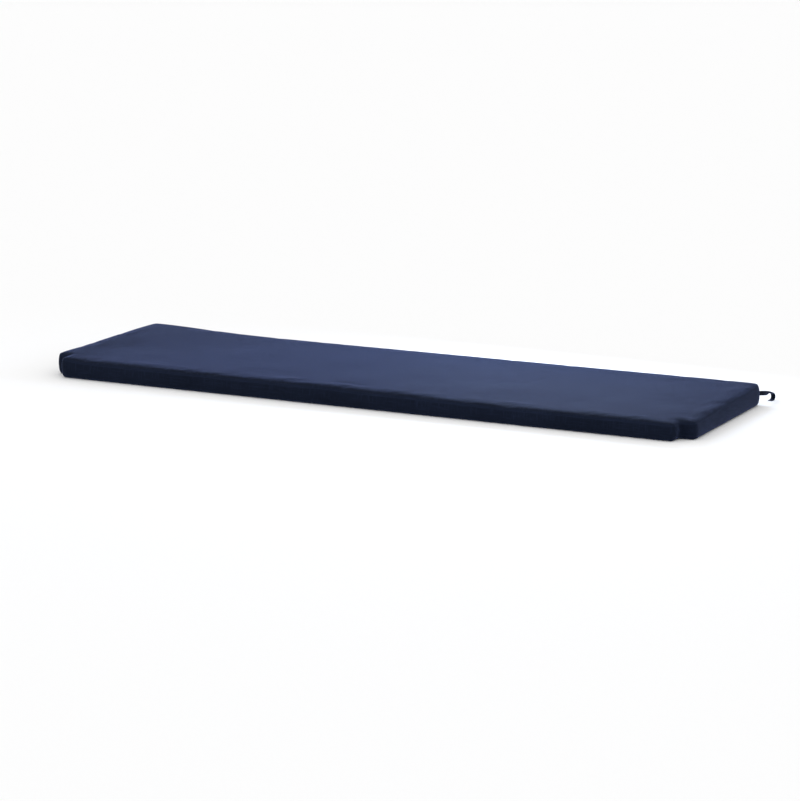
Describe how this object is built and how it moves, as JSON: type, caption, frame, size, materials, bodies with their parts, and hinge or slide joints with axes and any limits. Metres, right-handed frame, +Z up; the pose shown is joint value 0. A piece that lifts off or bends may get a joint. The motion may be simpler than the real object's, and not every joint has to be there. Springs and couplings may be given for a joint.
{
  "type": "bench seat cushion",
  "caption": "Long flat boxed bench seat cushion in plain navy canvas, cut out at its front corners around the bench's posts, with tape ties at its rear corners.",
  "frame": {"origin": "middle of the flat underside, on the surface that the cushion rests on", "axes": "+X along the cushion's length to the right, +Y from the cut-out front edge to the back edge, +Z up"},
  "size_m": [1.5386, 0.4969, 0.0605],
  "materials": {
    "canvas": "matt plain-woven solution-dyed outdoor canvas in navy, with a faint sheen at low angles",
    "tape": "matt folded canvas tape in dark navy, stitched along its edges"
  },
  "bodies": {
    "root": {"cushion": "canvas", "tie_right": "tape", "tie_left": "tape"}
  },
  "joints": []
}
